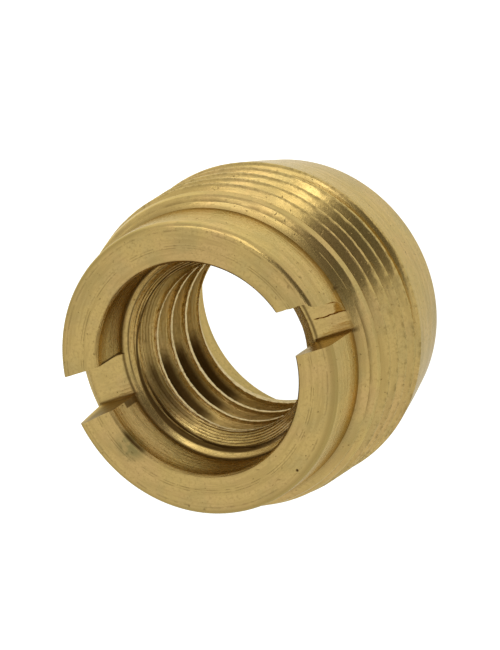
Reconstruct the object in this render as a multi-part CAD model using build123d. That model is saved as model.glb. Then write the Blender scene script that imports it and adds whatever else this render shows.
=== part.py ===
from build123d import *
import os
from math import tan, radians

# Slotted brass thread adapter: a short turned bushing with a fine thread outside and a coarse
# thread inside. One piece of metal, so it is one solid. It stands on its plain collar end,
# and the end with the screwdriver slot points up (+Z). The origin is the centre of the
# collar's flat end, and the slot runs along X.
# The two threads are modelled as plain bands: the outer one at its crests, the inner one at
# its crests too.

# Outer thread, 5/8 inch across its crests
male_crest_dia = 15.875

# Inner thread, 3/8 inch nominal, bored to this width at its crests
female_crest_dia = 8.16

# Heights along the axis, each measured down from the slotted face or up from the collar end
total_length = 12.0
nose_length = 2.65
collar_length = 3.9
lead_in_length = 1.4

# Collar: a plain taper under the thread
collar_end_dia = 14.0
collar_edge_break = 0.15

# Nose: the plain turned band round the slotted end
nose_dia = 14.36
nose_bevel = 0.35
first_crest_dia = 15.24
flank_angle = 30

# Counterbore in the slotted end, and the chamfer that leads from its floor to the inner thread
counterbore_dia = 10.4
counterbore_depth = 2.7
mouth_edge_break = 0.15
ledge_width = 0.3
thread_chamfer_angle = 45

# Stepped mouth at the collar end
rear_mouth_dia = 10.7
rear_mouth_depth = 3.05

# Screwdriver slot, sawn a little off the axis, down to the counterbore's floor
slot_width = 2.2
slot_offset = 0.36

os.makedirs("parts", exist_ok=True)

male_r = male_crest_dia / 2
female_r = female_crest_dia / 2
nose_r = nose_dia / 2
first_crest_r = first_crest_dia / 2
counterbore_r = counterbore_dia / 2
collar_end_r = collar_end_dia / 2
nose_foot = total_length - nose_length
counterbore_floor = total_length - counterbore_depth


def outer_outline():
    """Half outline of the outside, from the collar end up to the slotted face."""
    flank_rise = (first_crest_r - nose_r) * tan(radians(flank_angle))
    first_crest_z = nose_foot - flank_rise
    return [
        (collar_end_r - collar_edge_break, 0),
        (collar_end_r, collar_edge_break),
        (male_r, collar_length),
        (male_r, first_crest_z - lead_in_length),
        (first_crest_r, first_crest_z),
        (nose_r, nose_foot),
        (nose_r, total_length - nose_bevel),
        (nose_r - nose_bevel, total_length),
    ]


def inner_outline():
    """Half outline of the inside, from the slotted face back down to the collar end."""
    ledge_r = counterbore_r - ledge_width
    chamfer_depth = (ledge_r - female_r) / tan(radians(thread_chamfer_angle))
    rear_mouth_r = rear_mouth_dia / 2
    return [
        (counterbore_r + mouth_edge_break, total_length),
        (counterbore_r, total_length - mouth_edge_break),
        (counterbore_r, counterbore_floor),
        (ledge_r, counterbore_floor),
        (female_r, counterbore_floor - chamfer_depth),
        (female_r, rear_mouth_depth),
        (rear_mouth_r, rear_mouth_depth),
        (rear_mouth_r, 0),
    ]


def turned_body():
    """The bushing as it leaves the lathe."""
    with BuildPart() as body:
        with BuildSketch(Plane.XZ):
            with BuildLine():
                Polyline(*outer_outline(), *inner_outline(), close=True)
            make_face()
        revolve(axis=Axis.Z)
    return body.part


def driver_slot():
    """The saw cut across the nose."""
    return Pos(0, slot_offset, total_length) * Box(
        2 * male_crest_dia, slot_width, 2 * counterbore_depth
    )


thread_adapter = turned_body() - driver_slot()
export_step(thread_adapter, "parts/thread_adapter.step")
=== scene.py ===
from math import atan2, cos, degrees, hypot, pi, radians, sin, tan

import bmesh
import bpy
from mathutils import Matrix, Vector, noise


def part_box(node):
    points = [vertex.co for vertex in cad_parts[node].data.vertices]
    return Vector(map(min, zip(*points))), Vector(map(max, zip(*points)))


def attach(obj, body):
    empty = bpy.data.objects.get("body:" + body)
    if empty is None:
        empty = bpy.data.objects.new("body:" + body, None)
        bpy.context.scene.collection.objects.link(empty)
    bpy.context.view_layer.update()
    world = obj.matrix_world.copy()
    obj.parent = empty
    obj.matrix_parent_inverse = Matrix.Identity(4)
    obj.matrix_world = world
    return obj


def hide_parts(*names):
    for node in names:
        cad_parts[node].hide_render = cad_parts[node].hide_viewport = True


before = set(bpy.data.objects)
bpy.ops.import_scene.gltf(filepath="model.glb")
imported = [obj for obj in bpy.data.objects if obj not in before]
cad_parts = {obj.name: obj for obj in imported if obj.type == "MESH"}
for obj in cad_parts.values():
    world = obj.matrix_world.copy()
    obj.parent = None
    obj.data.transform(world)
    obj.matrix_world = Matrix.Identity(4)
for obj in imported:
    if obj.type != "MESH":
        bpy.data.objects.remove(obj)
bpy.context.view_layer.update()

# A small turned brass adapter: fine thread outside, coarse thread inside, and a sawn slot
# across the counterbored end. Lengths are in millimetres, and the mesh is built in metres.
# A depth is measured down from the slotted face and a level up from the collar end. Angles
# go round the axis from +X, in degrees where they are written as numbers.

MM = 0.001
INCH = 25.4
NODE = "thread_adapter"
COLUMNS = 256

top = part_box(NODE)[1][2] / MM

# Outside
collar_end_r = 7.0
collar_top_r = 7.915
collar_edge_break = 0.15
male_crest_r = 7.93
male_pitch = INCH / 27
male_depth = 0.56
male_crest_flat = 0.12
male_root_flat = 0.10
male_end = 8.1
male_fade = 0.45
male_crest_depth = 7.30
male_crest_angle = 25
male_turns = 8
nose_r = 7.18
nose_length = 2.65
nose_bevel = 0.35
shoulder_r = 7.62
shoulder_depth = 2.90
full_thread_depth = 4.3

# Inside
counterbore_r = 5.2
counterbore_depth = 2.7
mouth_edge_break = 0.15
ledge_r = 4.9
ledge_dish = 0.08
female_crest_r = 4.08
female_pitch = INCH / 16
female_depth = 0.68
female_crest_flat = 0.28
female_root_flat = 0.16
female_crest_depth = 5.65
female_crest_angle = 205
female_end = 8.95
female_fade = 0.3
female_turns = 6
rear_mouth_r = 5.35

# Slot: its two walls and its torn lip, as places along Y, how far the high wall runs off
# square, and how far from the middle the slot's own faces begin
slot_low = -0.74
slot_low_floor = -0.71
slot_high = 1.47
slot_drift = 0.0065
slot_start = 4.5
slot_edge = 0.03
lip_start = 0.26

# Wear: wandering crests, places torn from them, and the first outer turn cut back at the slot
crest_wobble = 0.006
male_tear = 0.045
female_tear = 0.025
cutback_most = 0.30
cutback_angle = 172


def height(depth):
    """Level of a place that lies so far below the slotted face."""
    return top - depth


floor_z = height(counterbore_depth)
ledge_depth = counterbore_depth + ledge_dish
chamfer_end = ledge_depth + (ledge_r - female_crest_r)


def clear_selection():
    if bpy.context.object and bpy.context.object.mode != "OBJECT":
        bpy.ops.object.mode_set(mode="OBJECT")
    bpy.ops.object.select_all(action="DESELECT")


def turned_rings(name, outline):
    """A surface of revolution, drawn as one ring that is extruded and resized in steps."""
    clear_selection()
    radius, level = outline[0]
    bpy.ops.mesh.primitive_circle_add(
        vertices=COLUMNS, radius=radius * MM, location=(0, 0, level * MM)
    )
    piece = bpy.context.object
    piece.name = name
    bpy.ops.object.transform_apply(location=True, rotation=True, scale=True)
    bpy.ops.object.mode_set(mode="EDIT")
    bpy.ops.mesh.select_all(action="SELECT")
    for next_radius, next_level in outline[1:]:
        step = (0, 0, (next_level - level) * MM)
        bpy.ops.mesh.extrude_edges_move(TRANSFORM_OT_translate={"value": step})
        share = next_radius / radius
        bpy.ops.transform.resize(value=(share, share, 1), center_override=(0, 0, 0))
        radius, level = next_radius, next_level
    bpy.ops.object.mode_set(mode="OBJECT")
    return piece


def between(points, at):
    """Value at a place on a line drawn through points of place and value."""
    if at <= points[0][0]:
        return points[0][1]
    for (a, low), (b, high) in zip(points, points[1:]):
        if at <= b:
            return low + (high - low) * (at - a) / (b - a)
    return points[-1][1]


def smooth(low, high, at):
    """From nothing at the low place to one at the high place, with no corner."""
    share = min(1, max(0, (at - low) / (high - low)))
    return share * share * (3 - 2 * share)


def soft_min(a, b, width):
    """The lesser of two lengths, rounded off where they cross."""
    return min(a, b) - max(width - abs(a - b), 0) ** 2 / (4 * width)


def groove_profile(pitch, depth, crest_flat, root_flat):
    """One turn of groove, from crest to crest: places along the axis and how deep the cut is."""
    flank_steps = 8
    crest = crest_flat / 2
    root = pitch / 2 - root_flat / 2
    flank = root - crest
    eased_crest = [(0, 0), (crest * 0.7, 0), (crest, 0.03), (crest + flank * 0.06, 0.085)]
    straight = [
        (crest + flank * k / flank_steps, k / flank_steps) for k in range(1, flank_steps)
    ]
    eased_root = [(root - flank * 0.02, 0.965), (root + root_flat * 0.2, 1), (pitch / 2, 1)]
    half = eased_crest + straight + eased_root
    full = half + [(pitch - place, cut) for place, cut in reversed(half[:-1])]
    return [(place, cut * depth) for place, cut in full]


def first_level(crest_level, crest_angle, pitch, end_level):
    """Level of the crest at angle zero, one turn or more below a band's lower end."""
    level = crest_level - pitch * crest_angle / 360
    while level > end_level - pitch:
        level -= pitch
    return level


def screwed_band(name, profile, crest_r, direction, first_z, turns):
    """The profile drawn point by point from one corner, then screwed up round the axis."""
    clear_selection()
    bpy.ops.mesh.primitive_plane_add(size=MM, location=(crest_r * MM, 0, first_z * MM))
    piece = bpy.context.object
    piece.name = name
    bpy.ops.object.transform_apply(location=True, rotation=True, scale=True)
    bpy.ops.object.mode_set(mode="EDIT")
    bpy.ops.mesh.select_all(action="SELECT")
    bpy.ops.mesh.merge(type="CENTER")
    for (place, cut), (next_place, next_cut) in zip(profile, profile[1:]):
        step = (direction * (next_cut - cut) * MM, 0, (next_place - place) * MM)
        bpy.ops.mesh.extrude_vertices_move(TRANSFORM_OT_translate={"value": step})
    bpy.ops.object.mode_set(mode="OBJECT")
    screw = piece.modifiers.new("screw", "SCREW")
    screw.steps = screw.render_steps = COLUMNS
    screw.iterations = turns
    screw.screw_offset = (profile[-1][0] - profile[0][0]) * MM
    bpy.ops.object.modifier_apply(modifier=screw.name)
    bpy.ops.object.mode_set(mode="EDIT")
    bpy.ops.mesh.select_all(action="SELECT")
    bpy.ops.mesh.remove_doubles(threshold=0.0002 * MM)
    bpy.ops.object.mode_set(mode="OBJECT")
    return piece


def fit_band(piece, low_z, high_z, edges, surface):
    """Trims a band to its two ends, brings each column's nearest point to every turned edge,
    and sets each point's distance from the axis."""
    columns = {}
    for vertex in piece.data.vertices:
        column = round(atan2(vertex.co.y, vertex.co.x) / (2 * pi) * COLUMNS) % COLUMNS
        columns.setdefault(column, []).append(vertex)
    for column, vertices in columns.items():
        angle = 2 * pi * column / COLUMNS
        levels = {v.index: min(high_z, max(low_z, v.co.z / MM)) for v in vertices}
        for edge in edges:
            inside = [v.index for v in vertices if low_z < levels[v.index] < high_z]
            nearest = min(inside, key=lambda k: abs(levels[k] - edge))
            levels[nearest] = edge
        for v in vertices:
            level = levels[v.index]
            r = surface(angle, level)
            v.co = (r * cos(angle) * MM, r * sin(angle) * MM, level * MM)


def thread_cut(profile, pitch, crest_z, crest_angle, angle, level):
    """How deep a right-hand thread is cut at one place."""
    rise = pitch * (angle - radians(crest_angle)) / (2 * pi)
    place = (level - crest_z - rise) % pitch
    return between(profile, place)


def ragged(angle, level, scale, seed):
    """Small uneven patches, the same on each run."""
    point = Vector((cos(angle) * scale, sin(angle) * scale, level * 0.9 + seed))
    return noise.noise(point * 1.3) * 0.6 + noise.noise(point * 3.7) * 0.4


def torn_crest(most, cut, angle, level, seed):
    """How much is torn off a crest at one place, fading out down its flanks."""
    torn = most * smooth(0.0, 0.5, ragged(angle, level * 3, 26, seed))
    return torn * (1 - smooth(0.02, 0.15, cut))


# The outer thread, on a band with a lead-in towards the nose
male_profile = groove_profile(male_pitch, male_depth, male_crest_flat, male_root_flat)
male_band_outline = [
    (height(male_end), collar_top_r),
    (height(male_end - 0.25), male_crest_r),
    (height(full_thread_depth), male_crest_r),
    (height(shoulder_depth), shoulder_r),
    (height(nose_length), nose_r),
]


def male_surface(angle, level):
    """Distance from the axis of the outer thread, with its run-out and its cut-back turn."""
    wobble = crest_wobble * ragged(angle, level, 9, 3)
    cut = thread_cut(
        male_profile, male_pitch, height(male_crest_depth) + wobble, male_crest_angle,
        angle, level,
    )
    fade = smooth(height(male_end), height(male_end) + male_fade, level)
    torn = torn_crest(male_tear, cut, angle, level, 11)
    rounding = 0.001 + 0.10 * smooth(0.05, 0.3, level - height(male_end))
    turned = between(male_band_outline, level)
    r = soft_min(turned, male_crest_r - cut * fade - torn * fade, rounding)
    off = abs((degrees(angle) - cutback_angle + 180) % 360 - 180)
    beside_slot = 1 - smooth(16, 36, off)
    first_turn = 1 - smooth(shoulder_depth, shoulder_depth + 0.5, top - level)
    return max(r - cutback_most * beside_slot * first_turn, nose_r)


male_band = screwed_band(
    "outer_thread", male_profile, male_crest_r, -1,
    first_level(height(male_crest_depth), male_crest_angle, male_pitch, height(male_end)),
    male_turns,
)
fit_band(
    male_band, height(male_end), height(nose_length),
    [height(shoulder_depth), height(full_thread_depth)], male_surface,
)

# The inner thread, under the chamfer that leads down from the ledge
female_profile = groove_profile(female_pitch, female_depth, female_crest_flat, female_root_flat)
female_band_outline = [
    (height(female_end), female_crest_r),
    (height(chamfer_end), female_crest_r),
    (height(ledge_depth), ledge_r),
]


def female_surface(angle, level):
    """Distance from the axis of the inner thread and of the chamfer that it starts in."""
    wobble = crest_wobble * ragged(angle, level, 6, 7)
    cut = thread_cut(
        female_profile, female_pitch, height(female_crest_depth) + wobble, female_crest_angle,
        angle, level,
    )
    fade = smooth(height(female_end), height(female_end) + female_fade, level)
    torn = torn_crest(female_tear, cut, angle, level, 23)
    return max(between(female_band_outline, level), female_crest_r + (cut + torn) * fade)


female_band = screwed_band(
    "inner_thread", female_profile, female_crest_r, 1,
    first_level(
        height(female_crest_depth), female_crest_angle, female_pitch, height(female_end)
    ),
    female_turns,
)
fit_band(
    female_band, height(female_end), height(ledge_depth),
    [height(chamfer_end)], female_surface,
)

# The turned rings between the two threads, round the collar end and round the slotted end
collar = turned_rings("collar", [
    (collar_top_r, height(male_end)),
    (collar_top_r - 0.015, height(male_end) - 0.06),
    (collar_end_r + 0.45, height(male_end) * 0.49),
    (collar_end_r, collar_edge_break),
    (collar_end_r - 0.04, collar_edge_break * 0.3),
    (collar_end_r - collar_edge_break, 0),
    (rear_mouth_r + 0.6, 0),
    (rear_mouth_r + 0.05, 0),
    (rear_mouth_r, 0.04),
    (rear_mouth_r, height(female_end) - 0.1),
    (female_crest_r + 0.1, height(female_end)),
    (female_crest_r, height(female_end)),
])
nose = turned_rings("nose", [
    (nose_r, height(nose_length)),
    (nose_r, height(nose_length - 0.06)),
    (nose_r, height(1.4)),
    (nose_r, height(nose_bevel + 0.10)),
    (nose_r, height(nose_bevel)),
    (nose_r - 0.03, height(nose_bevel * 0.62)),
    (nose_r - 0.10, height(nose_bevel * 0.30)),
    (nose_r - 0.20, height(nose_bevel * 0.08)),
    (nose_r - nose_bevel, top),
    (nose_r - nose_bevel - 0.08, top),
    (6.2, top),
    (counterbore_r + mouth_edge_break + 0.05, top),
    (counterbore_r + mouth_edge_break - 0.02, height(0.02)),
    (counterbore_r + 0.02, height(mouth_edge_break)),
    (counterbore_r, height(mouth_edge_break + 0.05)),
    (counterbore_r, height(1.4)),
    (counterbore_r, height(counterbore_depth - 0.25)),
    (counterbore_r - 0.02, height(counterbore_depth - 0.12)),
    (counterbore_r - 0.08, height(counterbore_depth - 0.04)),
    (ledge_r, height(ledge_depth)),
])

clear_selection()
for part in (nose, collar, male_band, female_band):
    part.select_set(True)
bpy.context.view_layer.objects.active = nose
bpy.ops.object.join()
adapter = bpy.context.object
adapter.name = "slotted_adapter"
bpy.ops.object.mode_set(mode="EDIT")
bpy.ops.mesh.select_all(action="SELECT")
bpy.ops.mesh.remove_doubles(threshold=0.001 * MM)
bpy.ops.mesh.dissolve_degenerate(threshold=0.0005 * MM)
bpy.ops.mesh.select_all(action="SELECT")
bpy.ops.mesh.normals_make_consistent(inside=False)
bpy.ops.object.mode_set(mode="OBJECT")


def slot_section(x):
    """The saw cut across, at one place along it: y and z of its corners. The low wall drags out
    at the -X end. At the +X end the high wall leans in, with a torn lip along its foot."""
    high = slot_high + slot_drift * x
    low = slot_low - 0.22 * smooth(5.2, 7.2, -x)
    lip = smooth(4.95, 5.7, x)
    bulge = smooth(6.1, 6.7, x)
    drop = smooth(6.6, 7.1, x)
    rough = 0.07 * ragged(x * 2.1, x, 1, 5) * lip
    low_wall = [(low, top + 1), (low, top), (slot_low_floor, floor_z + 0.14)]
    flat = [(slot_low_floor + 0.10, floor_z), (lip_start + rough, floor_z)]
    torn_lip = [
        (lip_start + 0.08 + rough, floor_z + 0.10 * lip),
        (high - 0.10 - 0.62 * bulge + rough * 2, floor_z + (0.24 + rough) * bulge),
    ]
    high_wall = [
        (high - 0.50 * bulge - rough, floor_z + 0.14 + 0.90 * bulge),
        (high - 0.36 * drop + rough, top - 0.05 - 0.45 * bulge),
        (high - 0.24 * drop, top + 1),
    ]
    return low_wall + flat + torn_lip + high_wall


def saw_tool():
    """The space that the saw takes away, as a closed shape, closely stepped where it is torn."""
    places = [-9, -8, -7.4, -6.9, -6.4, -5.9, -5.4, -5.0, 0, 4.7]
    places += [5.0 + 0.22 * k for k in range(12)] + [9]
    shape = bmesh.new()
    rows = [
        [shape.verts.new((x * MM, y * MM, z * MM)) for y, z in slot_section(x)] for x in places
    ]
    for near, far in zip(rows, rows[1:]):
        for k in range(len(near)):
            after = (k + 1) % len(near)
            shape.faces.new((near[k], near[after], far[after], far[k]))
    shape.faces.new(rows[0])
    shape.faces.new(rows[-1])
    bmesh.ops.recalc_face_normals(shape, faces=shape.faces)
    bmesh.ops.triangulate(shape, faces=shape.faces)
    mesh = bpy.data.meshes.new("saw_cut")
    shape.to_mesh(mesh)
    shape.free()
    tool = bpy.data.objects.new("saw_cut", mesh)
    bpy.context.scene.collection.objects.link(tool)
    return tool


saw = saw_tool()
clear_selection()
adapter.select_set(True)
bpy.context.view_layer.objects.active = adapter
saw_cut = adapter.modifiers.new("saw_cut", "BOOLEAN")
saw_cut.operation = "DIFFERENCE"
saw_cut.solver = "EXACT"
saw_cut.object = saw
bpy.ops.object.modifier_apply(modifier=saw_cut.name)
bpy.data.objects.remove(saw)


def in_slot(point):
    """Whether a point lies on the walls or floor of the slot, and outside the counterbore."""
    x, y, z = point.x / MM, point.y / MM, point.z / MM
    across = slot_low - 0.3 < y < slot_high + 0.1
    return abs(x) > slot_start and across and z > floor_z - 0.01


def soften_slot(width):
    """A narrow bevel along the sharp edges where the saw came out."""
    bpy.ops.object.mode_set(mode="EDIT")
    shape = bmesh.from_edit_mesh(adapter.data)
    for face in shape.faces:
        face.select = False
    for edge in shape.edges:
        ends = all(in_slot(vertex.co) for vertex in edge.verts)
        sharp = len(edge.link_faces) == 2 and edge.calc_face_angle_signed() > radians(40)
        edge.select = ends and sharp
    bmesh.update_edit_mesh(adapter.data)
    bpy.ops.mesh.bevel(offset=width * MM, segments=2, affect="EDGES", clamp_overlap=True)
    bpy.ops.object.mode_set(mode="OBJECT")


soften_slot(slot_edge)
bpy.ops.object.shade_smooth_by_angle(angle=radians(32))


class Wiring:
    """Adds nodes to one tree, each with its inputs, and returns the output that matters."""

    def __init__(self, tree):
        self.tree = tree

    def put(self, socket, value):
        if isinstance(value, bpy.types.NodeSocket):
            self.tree.links.new(value, socket)
        else:
            socket.default_value = value

    def math(self, operation, a, b=0.0):
        node = self.tree.nodes.new("ShaderNodeMath")
        node.operation = operation
        self.put(node.inputs[0], a)
        self.put(node.inputs[1], b)
        return node.outputs[0]

    def times(self, *values):
        total = values[0]
        for value in values[1:]:
            total = self.math("MULTIPLY", total, value)
        return total

    def most(self, *values):
        total = values[0]
        for value in values[1:]:
            total = self.math("MAXIMUM", total, value)
        return total

    def ramp(self, value, low, high, start=0.0, end=1.0):
        """Moves smoothly from start to end as the value goes from low to high."""
        node = self.tree.nodes.new("ShaderNodeMapRange")
        node.interpolation_type = "SMOOTHSTEP"
        for name, given in (
            ("Value", value), ("From Min", low), ("From Max", high),
            ("To Min", start), ("To Max", end),
        ):
            self.put(node.inputs[name], given)
        return node.outputs["Result"]

    def off(self, value, middle):
        """How far a value is from a middle value."""
        return self.math("ABSOLUTE", self.math("SUBTRACT", value, middle))

    def near(self, value, middle, half):
        """One at a middle value, falling to nothing at half a width away."""
        return self.ramp(self.off(value, middle), 0.0, half, 1.0, 0.0)

    def moved(self, operation, place, point):
        """A vector operation between a place and a fixed point, both in metres."""
        node = self.tree.nodes.new("ShaderNodeVectorMath")
        node.operation = operation
        self.put(node.inputs[0], place)
        node.inputs[1].default_value = point
        return node.outputs["Value" if operation == "DISTANCE" else "Vector"]

    def ball(self, place, centre, radius):
        """One inside a small ball, with a soft edge."""
        reach = self.moved("DISTANCE", place, Vector(centre) * MM)
        return self.ramp(reach, radius * 0.35 * MM, radius * MM, 1.0, 0.0)

    def mix(self, share, a, b):
        node = self.tree.nodes.new("ShaderNodeMix")
        node.data_type = "RGBA"
        self.put(node.inputs[0], share)
        self.put(node.inputs[6], a)
        self.put(node.inputs[7], b)
        return node.outputs[2]

    def join(self, x, y, z):
        node = self.tree.nodes.new("ShaderNodeCombineXYZ")
        for socket, value in zip(node.inputs, (x, y, z)):
            self.put(socket, value)
        return node.outputs[0]

    def split(self, vector):
        node = self.tree.nodes.new("ShaderNodeSeparateXYZ")
        self.put(node.inputs[0], vector)
        return node.outputs

    def noise(self, vector, scale, detail=3.0, roughness=0.55):
        node = self.tree.nodes.new("ShaderNodeTexNoise")
        self.put(node.inputs["Vector"], vector)
        self.put(node.inputs["Scale"], scale)
        self.put(node.inputs["Detail"], detail)
        self.put(node.inputs["Roughness"], roughness)
        return node.outputs["Fac"]

    def bump(self, height_value, distance, strength, normal=None):
        """Relief of so many millimetres, on top of an earlier relief."""
        node = self.tree.nodes.new("ShaderNodeBump")
        self.put(node.inputs["Height"], height_value)
        node.inputs["Distance"].default_value = distance * MM
        node.inputs["Strength"].default_value = strength
        if normal is not None:
            self.put(node.inputs["Normal"], normal)
        return node.outputs[0]

    def group(self, tree, **values):
        node = self.tree.nodes.new("ShaderNodeGroup")
        node.node_tree = tree
        for name, value in values.items():
            self.put(node.inputs[name.replace("_", " ")], value)
        return node.outputs


FLOAT, VECTOR = "NodeSocketFloat", "NodeSocketVector"


def new_group(name, inputs, outputs):
    """An empty shared group. Inputs give a name, a kind and a first value."""
    tree = bpy.data.node_groups.new(name, "ShaderNodeTree")
    for title, kind, value in inputs:
        socket = tree.interface.new_socket(title, in_out="INPUT", socket_type=kind)
        if value is not None:
            socket.default_value = value
    for title in outputs:
        tree.interface.new_socket(title, in_out="OUTPUT", socket_type=FLOAT)
    return (
        tree, Wiring(tree),
        tree.nodes.new("NodeGroupInput").outputs, tree.nodes.new("NodeGroupOutput").inputs,
    )


def around_group():
    """Place on a turned part: distance from the axis and height in millimetres, direction as
    two shares, and turn in degrees."""
    tree, wire, given, result = new_group(
        "round_the_axis", [("Place", VECTOR, None)],
        ["Radius", "Height", "Across", "Along", "Turn"],
    )
    x, y, z = wire.split(given["Place"])
    radius = wire.math("SQRT", wire.math("ADD", wire.times(x, x), wire.times(y, y)))
    wire.put(result["Radius"], wire.times(radius, 1 / MM))
    wire.put(result["Height"], wire.times(z, 1 / MM))
    wire.put(result["Across"], wire.math("DIVIDE", x, radius))
    wire.put(result["Along"], wire.math("DIVIDE", y, radius))
    opposite = wire.math("ARCTAN2", wire.times(y, -1), wire.times(x, -1))
    wire.put(result["Turn"], wire.math("ADD", wire.times(opposite, 180 / pi), 180))
    return tree


def lathe_group():
    """Fine turning lines round the axis, with torn dashes along them."""
    tree, wire, given, result = new_group(
        "lathe_lines",
        [("Radius", FLOAT, 0), ("Height", FLOAT, 0), ("Across", FLOAT, 0), ("Along", FLOAT, 0),
         ("Per mm", FLOAT, 5), ("Per turn", FLOAT, 3), ("Tear", FLOAT, 0.6)],
        ["Lines", "Tears"],
    )
    tears_per_mm, tears_round = 4.6, 17
    place = wire.math("ADD", given["Radius"], wire.times(given["Height"], 0.83))
    lines = wire.noise(wire.join(
        wire.times(place, given["Per mm"]),
        wire.times(given["Across"], given["Per turn"]),
        wire.times(given["Along"], given["Per turn"]),
    ), 1.0, 4.0, 0.7)
    wire.put(result["Lines"], lines)
    torn = wire.noise(wire.join(
        wire.times(place, tears_per_mm),
        wire.times(given["Across"], tears_round), wire.times(given["Along"], tears_round),
    ), 1.0, 2.5, 0.6)
    full = wire.math("ADD", given["Tear"], 0.09)
    wire.put(result["Tears"], wire.ramp(torn, given["Tear"], full))
    return tree


def tarnish_group():
    """Slow changes of tone, and small dark specks."""
    tree, wire, given, result = new_group(
        "tarnish",
        [("Place", VECTOR, None), ("Size", FLOAT, 500), ("Specks", FLOAT, 0.7)],
        ["Warm", "Dull", "Specks"],
    )
    warm = wire.noise(given["Place"], given["Size"], 3.0, 0.6)
    wire.put(result["Warm"], wire.ramp(warm, 0.40, 0.64))
    elsewhere = wire.moved("ADD", given["Place"], (0.031, 0.017, 0.043))
    dull = wire.noise(elsewhere, wire.times(given["Size"], 1.7), 4.0, 0.65)
    wire.put(result["Dull"], wire.ramp(dull, 0.44, 0.68))
    specks = wire.noise(elsewhere, 5200, 1.5, 0.5)
    full = wire.math("ADD", given["Specks"], 0.07)
    wire.put(result["Specks"], wire.ramp(specks, given["Specks"], full))
    return tree


ROUND, LATHE, TARNISH = around_group(), lathe_group(), tarnish_group()

YELLOW = (0.66, 0.47, 0.165, 1)
OLIVE = (0.50, 0.385, 0.15, 1)
WARM = (0.66, 0.44, 0.18, 1)
SHADE = (0.36, 0.25, 0.075, 1)
SMUDGE = (0.20, 0.18, 0.065, 1)
# Colour of the painted highlights on the inner crests and the chamfer
PAINTED_HIGHLIGHT = (0.86, 0.70, 0.42, 1)
# Dark colour for real grime and specks and for painted shade
GRIME_AND_SHADE = (0.085, 0.042, 0.008, 1)
BRASS_EDGE_TINT = (0.95, 0.87, 0.66, 1)

# How strongly each dark mark darkens the brass, from 0 to 1: real grime, specks, tears and
# stains, darker thread roots, and painted shade in the bore, on the ledge, in the slot's corners
# and on its low wall and round the nose's foot
DARKNESS = {
    "outer root": 0.45, "outer crest": 0.34,
    "inner root": 0.32, "darkest inner root": 0.90, "inner wall": 0.17,
    "tool rings": 0.45, "faint tool rings": 0.15,
    "thread start": 0.9, "ledge edge": 0.7,
    "bore foot": 0.75, "bore wall": 0.10, "lit bore wall": 0.08,
    "bore mouth": 0.3, "smudged bore mouth": 0.9,
    "slot corner": 0.85, "slot wall": 0.68, "burr": 0.85, "spot": 0.50,
    "nose foot": 0.34, "face rings": 0.36,
    "specks": 0.5, "tears": 0.35,
}


def polar(r, angle, level):
    """A point from its distance from the axis, its angle in degrees and its level."""
    return (r * cos(radians(angle)), r * sin(radians(angle)), level)


class Places:
    """Where a point of the part lies, in millimetres and degrees, and the patterns that break
    up its marks."""

    def __init__(self, wire):
        self.place = wire.tree.nodes.new("ShaderNodeTexCoord").outputs["Object"]
        self.turned = wire.group(ROUND, Place=self.place)
        self.radius = self.turned["Radius"]
        self.level = self.turned["Height"]
        self.turn = self.turned["Turn"]
        self.x, self.y, self.z = (
            wire.times(part, 1 / MM) for part in wire.split(self.place)
        )
        self.left_half = wire.ramp(wire.off(self.turn, 180), 85, 130, 1.0, 0.0)
        self.under_chamfer = wire.ramp(
            self.level, height(chamfer_end - 0.2), height(chamfer_end + 0.2)
        )
        self.uneven = wire.ramp(wire.noise(self.place, 900, 3.0, 0.6), 0.30, 0.62)
        self.broken = wire.ramp(wire.noise(self.place, 1500, 2.5, 0.6), 0.40, 0.56)
        self.grain = wire.noise(self.place, 7000, 2.0, 0.6)

    def lathe(self, wire, per_mm, per_turn, tear):
        """Lathe lines so many to the millimetre, and torn where their noise is past a level."""
        return wire.group(
            LATHE, Radius=self.radius, Height=self.level,
            Across=self.turned["Across"], Along=self.turned["Along"],
            Per_mm=per_mm, Per_turn=per_turn, Tear=tear,
        )

    def saw_lines(self, wire):
        """Scratches along the slot."""
        along, across = 0.8, 6
        return wire.noise(wire.join(
            wire.times(self.x, along), wire.times(self.y, across), wire.times(self.z, across)
        ), 1.0, 3.0, 0.6)


def tool_rings(wire, at):
    """Rings left by the boring tool on the chamfer and on the flanks just under it."""
    spacing = 0.21
    wave = wire.math("SINE", wire.times(
        wire.math("ADD", at.radius, at.level), 2 * pi / spacing
    ))
    return wire.times(
        wire.ramp(wave, -0.3, 0.8),
        wire.ramp(at.radius, female_crest_r - 0.04, female_crest_r + 0.04),
        wire.ramp(at.radius, ledge_r - 0.14, ledge_r - 0.22),
        at.left_half,
        wire.ramp(at.level, height(chamfer_end + 0.5), height(chamfer_end + 0.3)),
    )


def face_smudge(wire, at):
    """A dull patch on the face beside the slot's left end."""
    return wire.ball(at.place, polar(5.45, 208, top), 1.05)


def outer_thread_darkening(wire, at):
    """Darker thread roots, and dark specks along the torn crests."""
    on_thread = wire.times(
        wire.ramp(at.level, height(shoulder_depth), height(shoulder_depth + 0.1)),
        wire.ramp(at.level, height(male_end + 0.1), height(male_end)),
    )
    root = wire.times(
        wire.ramp(at.radius, male_crest_r - 0.31, male_crest_r - 0.51),
        wire.ramp(at.radius, nose_r - 0.28, nose_r - 0.08), on_thread,
    )
    crest = wire.times(
        wire.ramp(at.radius, male_crest_r - 0.15, male_crest_r - 0.03), on_thread
    )
    specks = wire.ramp(wire.noise(at.place, 4200, 3.0, 0.7), 0.46, 0.62)
    return wire.most(
        wire.times(root, DARKNESS["outer root"], at.uneven),
        wire.times(crest, DARKNESS["outer crest"], specks),
    )


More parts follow.
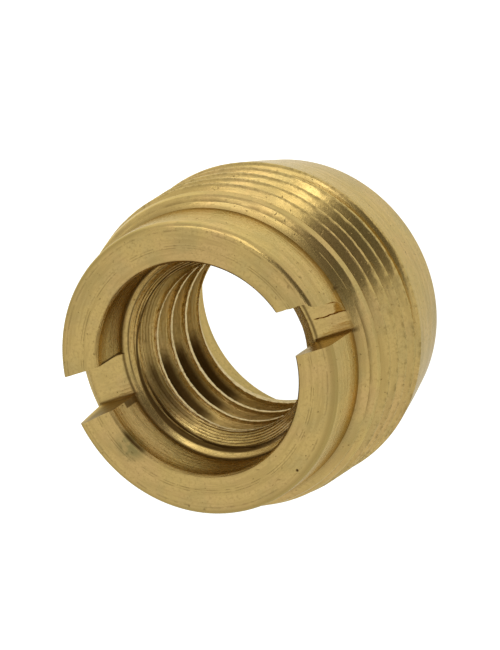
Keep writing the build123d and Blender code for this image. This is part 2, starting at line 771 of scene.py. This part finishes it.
def inner_thread_shade_and_rings(wire, at, rings):
    """Painted shade in the roots, darkest round one side and strongest over the left half, the
    tool's rings, and the wall below the thread made darker.
    """
    darkest_turn = 200
    # Painted shade: the thread roots under the chamfer are darkened, most round one side
    root = wire.times(
        wire.ramp(at.radius, female_crest_r + 0.03, female_crest_r + 0.32),
        wire.ramp(at.radius, ledge_r + 0.1, ledge_r), at.under_chamfer,
    )
    root_cover = wire.times(
        wire.ramp(at.left_half, 0.0, 1.0, 0.3, 1.0),
        wire.ramp(
            wire.off(at.turn, darkest_turn), 16, 32,
            DARKNESS["darkest inner root"], DARKNESS["inner root"],
        ),
    )
    ring_cover = wire.ramp(
        at.broken, 0.0, 1.0, DARKNESS["faint tool rings"], DARKNESS["tool rings"]
    )
    rear_wall = wire.times(
        wire.ramp(at.radius, female_crest_r + 0.22, female_crest_r + 0.12),
        wire.ramp(at.level, height(female_end), height(female_end + 0.1)),
    )
    return wire.most(
        wire.times(root, root_cover), wire.times(rings, ring_cover),
        wire.times(rear_wall, DARKNESS["inner wall"]),
    )


def ledge_shade_lines(wire, at):
    """Two lines of painted shade round the left of the ledge: one where the thread's first turn
    comes out of the chamfer, moving outwards and widening as it goes, and one along the ledge's
    edge."""
    start = wire.math("SUBTRACT", ledge_r, wire.ramp(at.turn, 120, 220, 0.40, 0.11))
    start_line = wire.times(
        wire.ramp(
            wire.off(at.radius, start), wire.ramp(at.turn, 150, 215, 0.0, 0.06),
            wire.ramp(at.turn, 150, 215, 0.06, 0.15), 1.0, 0.0,
        ),
        wire.ramp(at.level, floor_z - 0.9, floor_z - 0.7),
        wire.ramp(at.level, floor_z + 0.02, floor_z - 0.02),
        at.left_half,
    )
    edge_line = wire.times(
        wire.near(at.radius, ledge_r + 0.01, 0.06), at.left_half,
        wire.ramp(at.turn, 190, 170),
        wire.ramp(at.level, floor_z, floor_z - 0.04),
        wire.ramp(at.level, floor_z - 0.3, floor_z - 0.2),
    )
    return wire.most(
        wire.times(start_line, DARKNESS["thread start"]), wire.times(edge_line, DARKNESS["ledge edge"])
    )


def counterbore_shade_and_smudge(wire, at, smudge):
    """Painted shade at the counterbore's foot, on its wall (lighter round the lit side) and
    along its mouth, where the face smudge also darkens it.
    """
    foot = wire.times(
        wire.near(at.radius, counterbore_r - 0.02, 0.14),
        wire.near(at.level, floor_z + 0.05, 0.42),
    )
    wall = wire.times(
        wire.near(at.radius, counterbore_r, 0.1), wire.ramp(at.level, top - 0.1, top - 0.35),
        wire.ramp(at.level, floor_z - 0.05, floor_z + 0.05),
    )
    lit_wall_turn = 205
    wall_cover = wire.ramp(
        wire.off(at.turn, lit_wall_turn), 15, 45, DARKNESS["lit bore wall"], DARKNESS["bore wall"]
    )
    mouth = wire.times(
        wire.near(at.radius, counterbore_r + 0.10, 0.13),
        wire.ramp(at.level, top - 0.3, top - 0.1),
    )
    mouth_cover = wire.most(
        wire.times(smudge, DARKNESS["smudged bore mouth"]),
        wire.times(at.uneven, DARKNESS["bore mouth"]),
    )
    return wire.most(
        wire.times(foot, DARKNESS["bore foot"]), wire.times(wall, wall_cover),
        wire.times(mouth, mouth_cover),
    )


def slot_shade_and_stains(wire, at, sawn):
    """Painted shade in the slot's corners and on its low wall, the burr at its right mouth and a
    spot on the lip.
    """
    corner = wire.times(
        wire.near(at.level, floor_z, 0.34),
        wire.most(
            wire.near(at.y, slot_high - 0.01, 0.20), wire.near(at.y, slot_low_floor, 0.22)
        ),
        wire.ramp(wire.math("ABSOLUTE", at.x), 4.9, 5.1), wire.ramp(at.radius, 7.6, 7.2),
    )
    low_wall = wire.times(
        wire.ramp(at.y, slot_low_floor + 0.05, slot_low_floor),
        wire.most(wire.ramp(at.x, -7.2, -6.5, 0.3, 1.0), wire.ramp(at.x, 0, 1)),
        wire.ramp(at.x, 0, 1, 1.0, 0.3),
    )
    burr = wire.times(
        wire.near(at.radius, counterbore_r, 0.12),
        wire.ramp(at.y, slot_high + 0.13, slot_high),
        wire.ramp(at.y, slot_high - 0.17, slot_high - 0.09),
        wire.ramp(at.level, top, top - 0.5),
    )
    spot = wire.times(
        wire.ball(at.place, (6.60, 1.12, floor_z + 0.80), 0.62),
        wire.ramp(wire.noise(at.place, 2600, 2.0, 0.6), 0.42, 0.60),
    )
    return wire.most(
        wire.times(corner, DARKNESS["slot corner"]),
        wire.times(low_wall, DARKNESS["slot wall"] if sawn else 0.0),
        wire.times(burr, DARKNESS["burr"]), wire.times(spot, DARKNESS["spot"]),
    )


def nose_shade_and_rings(wire, at):
    """Painted shade round the nose's foot, three fine broken rings on the slotted face, and two
    dark dots.
    """
    foot = wire.times(
        wire.near(at.radius, nose_r + 0.03, 0.24),
        wire.near(at.level, height(nose_length) + 0.05, 0.34),
    )
    rings = wire.times(
        wire.ramp(at.level, top - 0.06, top - 0.03), at.broken,
        wire.most(
            wire.near(at.radius, 5.95, 0.045), wire.near(at.radius, 6.07, 0.04),
            wire.times(wire.near(at.radius, 6.80, 0.07), 0.8),
        ),
    )
    return wire.most(
        wire.times(foot, DARKNESS["nose foot"]), wire.times(rings, DARKNESS["face rings"]),
        wire.ball(at.place, polar(4.50, 172, height(3.85)), 0.16),
        wire.ball(at.place, polar(6.75, 298, top), 0.10),
    )


def painted_highlights(wire, at):
    """Painted highlights along the inner crests, and on the chamfer on the side away from the
    painted shade.
    """
    crest = wire.times(
        wire.near(at.radius, female_crest_r, 0.09), at.under_chamfer,
        wire.ramp(at.level, height(female_end), height(female_end - 0.1)),
    )
    chamfer = wire.times(
        wire.math("SUBTRACT", 1.0, at.left_half),
        wire.ramp(at.radius, ledge_r + 0.05, ledge_r - 0.05),
        wire.ramp(at.level, height(chamfer_end + 0.3), height(chamfer_end)),
        wire.ramp(at.radius, female_crest_r - 0.04, female_crest_r + 0.02),
    )
    return (
        wire.times(crest, wire.ramp(at.grain, 0.3, 0.6, 0.35, 0.75)), wire.times(chamfer, 0.8)
    )


def shaded_rim(wire, at):
    """Painted shade on the bevel round the face, all round but for the stretch where the light
    catches it.
    """
    lit_rim_turn = 50
    return wire.times(
        wire.ramp(at.radius, nose_r - nose_bevel - 0.06, nose_r - 0.1),
        wire.ramp(at.level, height(nose_bevel + 0.1), height(nose_bevel)),
        wire.ramp(wire.off(at.turn, lit_rim_turn), 25, 50),
    )


def brass(name, sawn):
    """Bare brass, cut by a lathe tool or by a saw, dulled, with real grime, specks and stains,
    painted shade in its corners, recesses and bore, and painted highlights on the inner crests
    and chamfer.
    """
    material = bpy.data.materials.new(name)
    material.use_nodes = True
    wire = Wiring(material.node_tree)
    at = Places(wire)
    marks = at.lathe(wire, per_mm=3.7, per_turn=1.7, tear=0.66)
    fine = at.lathe(wire, per_mm=9.0, per_turn=3.0, tear=0.7)
    stain = wire.group(TARNISH, Place=at.place, Size=330.0, Specks=0.70)
    lines = at.saw_lines(wire) if sawn else marks["Lines"]
    line_shade = 0.22 if sawn else 0.40
    turned = 0.0 if sawn else 1.0
    rings = tool_rings(wire, at)
    smudge = face_smudge(wire, at)

    # Real grime, specks and tears, together with painted shade in the bore, on the ledge, in the
    # slot and round the nose's foot
    grime_and_shade = wire.most(
        outer_thread_darkening(wire, at),
        inner_thread_shade_and_rings(wire, at, rings),
        ledge_shade_lines(wire, at),
        counterbore_shade_and_smudge(wire, at, smudge),
        slot_shade_and_stains(wire, at, sawn),
        nose_shade_and_rings(wire, at),
        wire.times(stain["Specks"], DARKNESS["specks"]),
        wire.times(marks["Tears"], DARKNESS["tears"] * turned),
    )
    grain_shade = wire.ramp(at.radius, ledge_r + 0.05, ledge_r + 0.15, 0.62, 0.40)
    # Darker tone from the lathe or saw lines and the grain, and painted shade on the face's
    # bevel
    shade = wire.most(
        wire.ramp(lines, 0.34, 0.60, line_shade, 0.0),
        wire.times(shaded_rim(wire, at), 0.7),
        wire.ramp(at.grain, 0.30, 0.56, grain_shade, 0.0),
    )
    crest_highlight, chamfer_highlight = painted_highlights(wire, at)

    colour = wire.mix(wire.times(stain["Warm"], 0.6), YELLOW, WARM)
    colour = wire.mix(wire.times(stain["Dull"], 0.55), colour, OLIVE)
    colour = wire.mix(shade, colour, SHADE)
    colour = wire.mix(
        wire.times(smudge, wire.ramp(at.broken, 0, 1, 0.35, 0.7)), colour, SMUDGE
    )
    # Painted highlights on the chamfer and along the inner crests
    colour = wire.mix(chamfer_highlight, colour, PAINTED_HIGHLIGHT)
    colour = wire.mix(crest_highlight, colour, PAINTED_HIGHLIGHT)
    # Real grime and painted shade darken the colour last
    colour = wire.mix(grime_and_shade, colour, GRIME_AND_SHADE)

    dents = wire.math("ADD", stain["Specks"], wire.times(marks["Tears"], turned))
    relief = wire.bump(lines, 0.016, 0.9)
    relief = wire.bump(fine["Lines"], 0.014, 0.9 * turned, relief)
    relief = wire.bump(at.grain, 0.003, 0.8, relief)
    relief = wire.bump(wire.math("SUBTRACT", 1.0, rings), 0.012, 0.9, relief)
    relief = wire.bump(wire.math("SUBTRACT", 1.0, dents), 0.005, 0.8, relief)

    shader = material.node_tree.nodes["Principled BSDF"]
    shader.inputs["Metallic"].default_value = 1
    shader.inputs["Specular Tint"].default_value = BRASS_EDGE_TINT
    wire.put(shader.inputs["Base Color"], colour)
    wire.put(shader.inputs["Roughness"], wire.math(
        "ADD", wire.ramp(lines, 0.3, 0.7, 0.26, 0.17), wire.times(grime_and_shade, 0.35)
    ))
    wire.put(shader.inputs["Normal"], relief)
    return material


def on_sawn_face(face):
    """Whether a face is on the slot's walls or floor, and not on the end face or the nose."""
    centre = face.center
    level = centre.z / MM
    return (
        in_slot(centre)
        and hypot(centre.x, centre.y) / MM < nose_r - 0.01
        and level <= top - 0.02
        and (abs(face.normal.y) > 0.75 or level < floor_z + 1)
    )


adapter.data.materials.clear()
adapter.data.materials.append(brass("turned_brass", False))
adapter.data.materials.append(brass("sawn_brass", True))
for face in adapter.data.polygons:
    face.material_index = 1 if on_sawn_face(face) else 0

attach(adapter, "root")
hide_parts(NODE)

# The floor: pale paper that glows a little, most of all to the camera and in one light patch
paper_base = (0.3, 0.3, 0.3, 1)
paper_light = (0.96, 1, 1, 1)
paper_glow = 0.57
paper_glow_seen = 0.45
patch_glow = 0.30
patch_place = (-8, 22, 0)
patch_inner, patch_outer = 12, 34

clear_selection()
bpy.ops.mesh.primitive_plane_add(size=4, location=(0, 0, 0))
floor_plane = bpy.context.object
floor_plane.name = "floor"
paper = bpy.data.materials.new("white_paper")
paper.use_nodes = True
paper_wire = Wiring(paper.node_tree)
seen = paper.node_tree.nodes.new("ShaderNodeLightPath").outputs["Is Camera Ray"]
paper_place = paper.node_tree.nodes.new("ShaderNodeTexCoord").outputs["Object"]
patch = paper_wire.ramp(
    paper_wire.moved("DISTANCE", paper_place, Vector(patch_place) * MM),
    patch_inner * MM, patch_outer * MM, patch_glow, 0.0,
)
paper_shader = paper.node_tree.nodes["Principled BSDF"]
paper_shader.inputs["Base Color"].default_value = paper_base
paper_shader.inputs["Roughness"].default_value = 0.9
paper_shader.inputs["Emission Color"].default_value = paper_light
paper_wire.put(paper_shader.inputs["Emission Strength"], paper_wire.math(
    "ADD", paper_wire.times(seen, paper_glow_seen), paper_wire.math("ADD", patch, paper_glow)
))
floor_plane.data.materials.append(paper)

# The camera, far off with a long lens, rolled as in the photograph
view_elevation = radians(59.656)
view_azimuth = radians(14.122)
view_roll = radians(-122.843)
view_distance = 1.00488
view_lens = 1174.67
aim = Vector((0.136, 0.452, 6.0)) * MM


def toward(azimuth, elevation):
    """A direction from the piece, from its two angles in radians."""
    return Vector((
        cos(elevation) * cos(azimuth), cos(elevation) * sin(azimuth), sin(elevation)
    ))


def facing_piece(direction, distance, roll=0.0):
    """Where something stands that looks back at the piece, upright or rolled."""
    across = Vector((0, 0, 1)).cross(direction).normalized()
    rise = direction.cross(across)
    facing = Matrix((across, rise, direction)).transposed()
    turned = facing @ Matrix.Rotation(roll, 3, "Z")
    return Matrix.Translation(aim + direction * distance) @ turned.to_4x4()


camera_data = bpy.data.cameras.new("camera")
camera_data.sensor_width = 36
camera_data.lens = view_lens
camera_data.clip_start = 0.05
camera_data.clip_end = 10
camera = bpy.data.objects.new("camera", camera_data)
bpy.context.scene.collection.objects.link(camera)
camera.matrix_world = facing_piece(
    toward(view_azimuth, view_elevation), view_distance, view_roll
)
bpy.context.scene.camera = camera

# The light: an even white room, two soft strips, and a card for the metal to reflect
world = bpy.context.scene.world or bpy.data.worlds.new("world")
bpy.context.scene.world = world
world.use_nodes = True
sky = world.node_tree.nodes["Background"]
sky.inputs["Color"].default_value = (1, 1, 1, 1)
sky.inputs["Strength"].default_value = 0.78


def dark_card(azimuth, elevation, distance, half_width, half_height):
    """A dark card behind the camera, which the metal that faces the camera reflects."""
    clear_selection()
    bpy.ops.mesh.primitive_plane_add(size=2)
    card = bpy.context.object
    card.name = "black_card"
    spread = Matrix.Diagonal((
        distance * tan(radians(half_width)), distance * tan(radians(half_height)), 1, 1
    ))
    direction = toward(radians(azimuth), radians(elevation))
    card.matrix_world = facing_piece(direction, distance) @ spread
    black = bpy.data.materials.new("black_card")
    black.use_nodes = True
    shader = black.node_tree.nodes["Principled BSDF"]
    shader.inputs["Base Color"].default_value = (0.01, 0.01, 0.01, 1)
    shader.inputs["Roughness"].default_value = 1
    shader.inputs["Emission Color"].default_value = (1, 0.93, 0.80, 1)
    shader.inputs["Emission Strength"].default_value = 0.14
    card.data.materials.append(black)


def strip_light(name, azimuth, elevation, width, tall, radiance):
    """A soft upright light, its size given as degrees seen from the piece."""
    distance = 0.5
    data = bpy.data.lights.new(name, "AREA")
    data.shape = "RECTANGLE"
    data.size = 2 * distance * tan(radians(width / 2))
    data.size_y = 2 * distance * tan(radians(tall / 2))
    data.energy = radiance * pi * data.size * data.size_y
    lamp = bpy.data.objects.new(name, data)
    bpy.context.scene.collection.objects.link(lamp)
    lamp.matrix_world = facing_piece(toward(radians(azimuth), radians(elevation)), distance)


dark_card(azimuth=25, elevation=50, distance=1.35, half_width=19, half_height=31)
strip_light("key", azimuth=67.5, elevation=42, width=9, tall=42, radiance=1.7)
strip_light("fill", azimuth=98, elevation=45, width=24, tall=18, radiance=1.05)

bpy.context.scene.view_settings.view_transform = "Standard"
